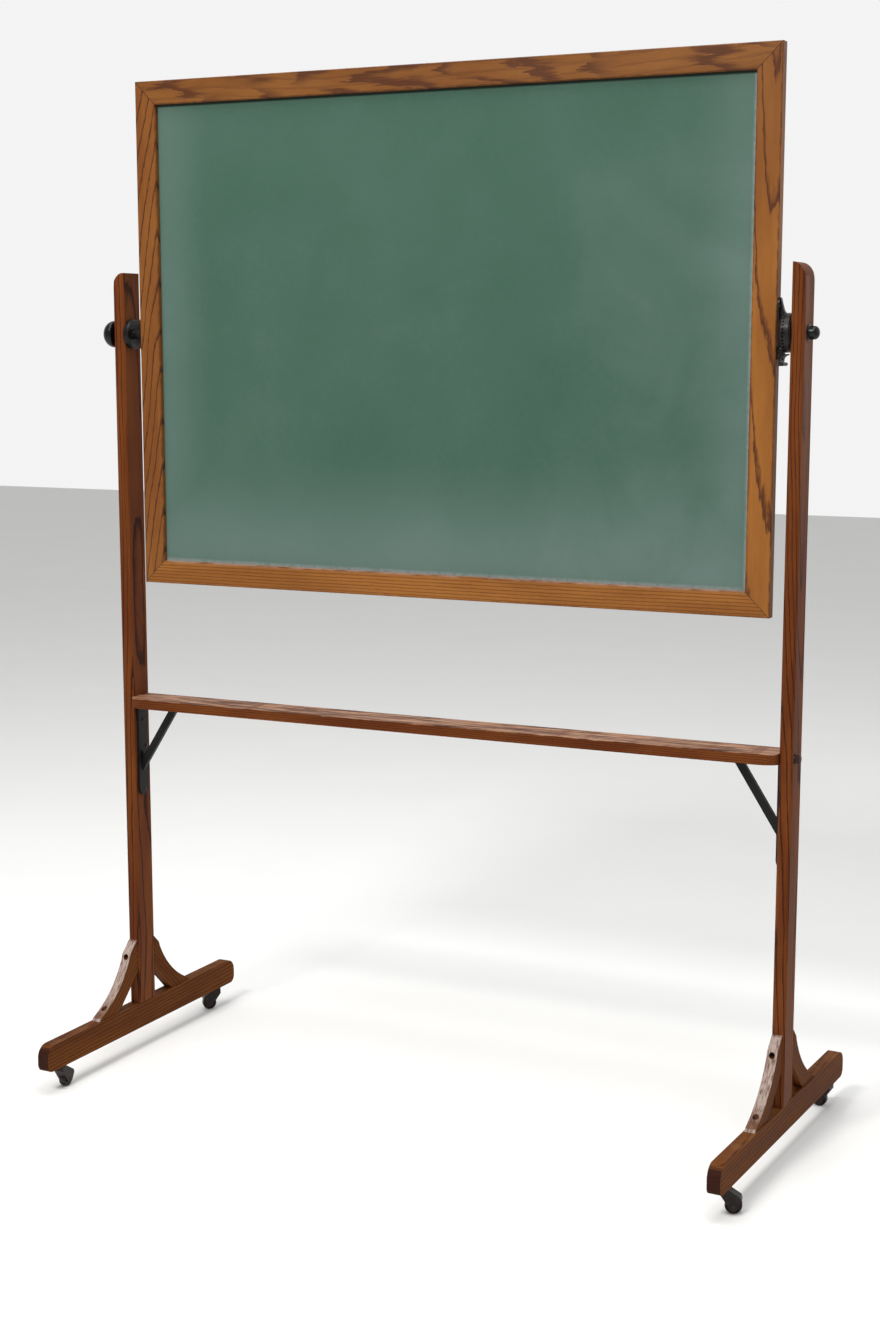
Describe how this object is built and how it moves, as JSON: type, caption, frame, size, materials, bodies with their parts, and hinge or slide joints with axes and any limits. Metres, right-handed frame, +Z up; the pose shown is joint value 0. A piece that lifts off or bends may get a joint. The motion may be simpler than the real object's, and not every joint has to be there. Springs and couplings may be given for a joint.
{
  "type": "revolving chalkboard on stand",
  "caption": "Oak school chalkboard that revolves between posts on a castored stand, with a chalk tray, iron tray brackets and a clamp knob.",
  "frame": {"origin": "on the floor midway between the posts, straight under the middle of the board's pivot line", "axes": "+X to the user's right, +Y to the back, +Z up; the front faces -Y"},
  "size_m": [1.4895, 0.6804, 2.009],
  "materials": {
    "oak_frame": "satin, worn varnish",
    "writing_surface": "matte, chalk dust",
    "oak_stand": "satin, worn varnish",
    "oak_tray": "worn bare top, varnished edge",
    "pivot_iron": "dark, lightly worn",
    "black_knob": "gloss black",
    "bracket_iron": "matte black",
    "screw_steel": "dull, rusted",
    "caster_iron": "dark, worn bright on the tread"
  },
  "bodies": {
    "stand": {"left_pivot_dish": "pivot_iron", "right_pivot_disc": "pivot_iron", "right_pivot_pin": "screw_steel", "right_cap_knob": "black_knob", "left_post": "oak_stand", "right_post": "oak_stand", "left_foot": "oak_stand", "right_foot": "oak_stand", "brace_left_front": "oak_stand", "brace_left_rear": "oak_stand", "brace_right_front": "oak_stand", "brace_right_rear": "oak_stand", "brace_screws": "screw_steel", "chalk_tray": "oak_tray", "tray_end_bolt": "screw_steel", "tray_bolt_washer": "screw_steel", "left_tray_bracket": "bracket_iron", "right_tray_bracket": "bracket_iron", "tray_bracket_screws": "screw_steel", "caster_sockets": "caster_iron"},
    "board": {"frame_top_rail": "oak_frame", "frame_bottom_rail": "oak_frame", "frame_left_stile": "oak_frame", "frame_right_stile": "oak_frame", "writing_panel": "writing_surface", "left_board_plate": "pivot_iron", "right_board_plate": "pivot_iron", "board_plate_screws": "screw_steel", "pivot_stud": "screw_steel", "lever_pin": "screw_steel"},
    "lever": {"release_lever": "pivot_iron"},
    "knob": {"clamp_knob": "black_knob"},
    "caster_left_front": {"fork_left_front": "caster_iron", "axle_left_front": "caster_iron"},
    "roller_left_front": {"wheel_left_front": "caster_iron"},
    "caster_left_rear": {"fork_left_rear": "caster_iron", "axle_left_rear": "caster_iron"},
    "roller_left_rear": {"wheel_left_rear": "caster_iron"},
    "caster_right_front": {"fork_right_front": "caster_iron", "axle_right_front": "caster_iron"},
    "roller_right_front": {"wheel_right_front": "caster_iron"},
    "caster_right_rear": {"fork_right_rear": "caster_iron", "axle_right_rear": "caster_iron"},
    "roller_right_rear": {"wheel_right_rear": "caster_iron"}
  },
  "joints": [
    {"name": "board_tilt", "type": "hinge", "parent": "stand", "child": "board", "pos_m": [0, 0, 1.514], "axis": [1, 0, 0], "continuous": true},
    {"name": "clamp_knob_turn", "type": "hinge", "parent": "board", "child": "knob", "pos_m": [-0.734, 0, 1.514], "axis": [-1, 0, 0], "range_deg": [0, 360]},
    {"name": "release_lever_squeeze", "type": "hinge", "parent": "board", "child": "lever", "pos_m": [0.6695, 0, 1.473], "axis": [0, 1, 0], "range_deg": [0, 12]},
    {"name": "swivel_left_front", "type": "hinge", "parent": "stand", "child": "caster_left_front", "pos_m": [-0.71338, -0.28284, 0.049], "axis": [0, 0, 1], "continuous": true},
    {"name": "roll_left_front", "type": "hinge", "parent": "caster_left_front", "child": "roller_left_front", "pos_m": [-0.71392, -0.26735, 0.0155], "axis": [-0.9994, -0.0349, 0], "continuous": true},
    {"name": "swivel_left_rear", "type": "hinge", "parent": "stand", "child": "caster_left_rear", "pos_m": [-0.69462, 0.28284, 0.049], "axis": [0, 0, 1], "continuous": true},
    {"name": "roll_left_rear", "type": "hinge", "parent": "caster_left_rear", "child": "roller_left_rear", "pos_m": [-0.70614, 0.27247, 0.0155], "axis": [0.6691, -0.7431, 0], "continuous": true},
    {"name": "swivel_right_front", "type": "hinge", "parent": "stand", "child": "caster_right_front", "pos_m": [0.68771, -0.28253, 0.049], "axis": [0, 0, 1], "continuous": true},
    {"name": "roll_right_front", "type": "hinge", "parent": "caster_right_front", "child": "roller_right_front", "pos_m": [0.70275, -0.27878, 0.0155], "axis": [-0.2419, 0.9703, 0], "continuous": true},
    {"name": "swivel_right_rear", "type": "hinge", "parent": "stand", "child": "caster_right_rear", "pos_m": [0.72029, 0.28253, 0.049], "axis": [0, 0, 1], "continuous": true},
    {"name": "roll_right_rear", "type": "hinge", "parent": "caster_right_rear", "child": "roller_right_rear", "pos_m": [0.70485, 0.28388, 0.0155], "axis": [-0.0872, -0.9962, 0], "continuous": true}
  ]
}
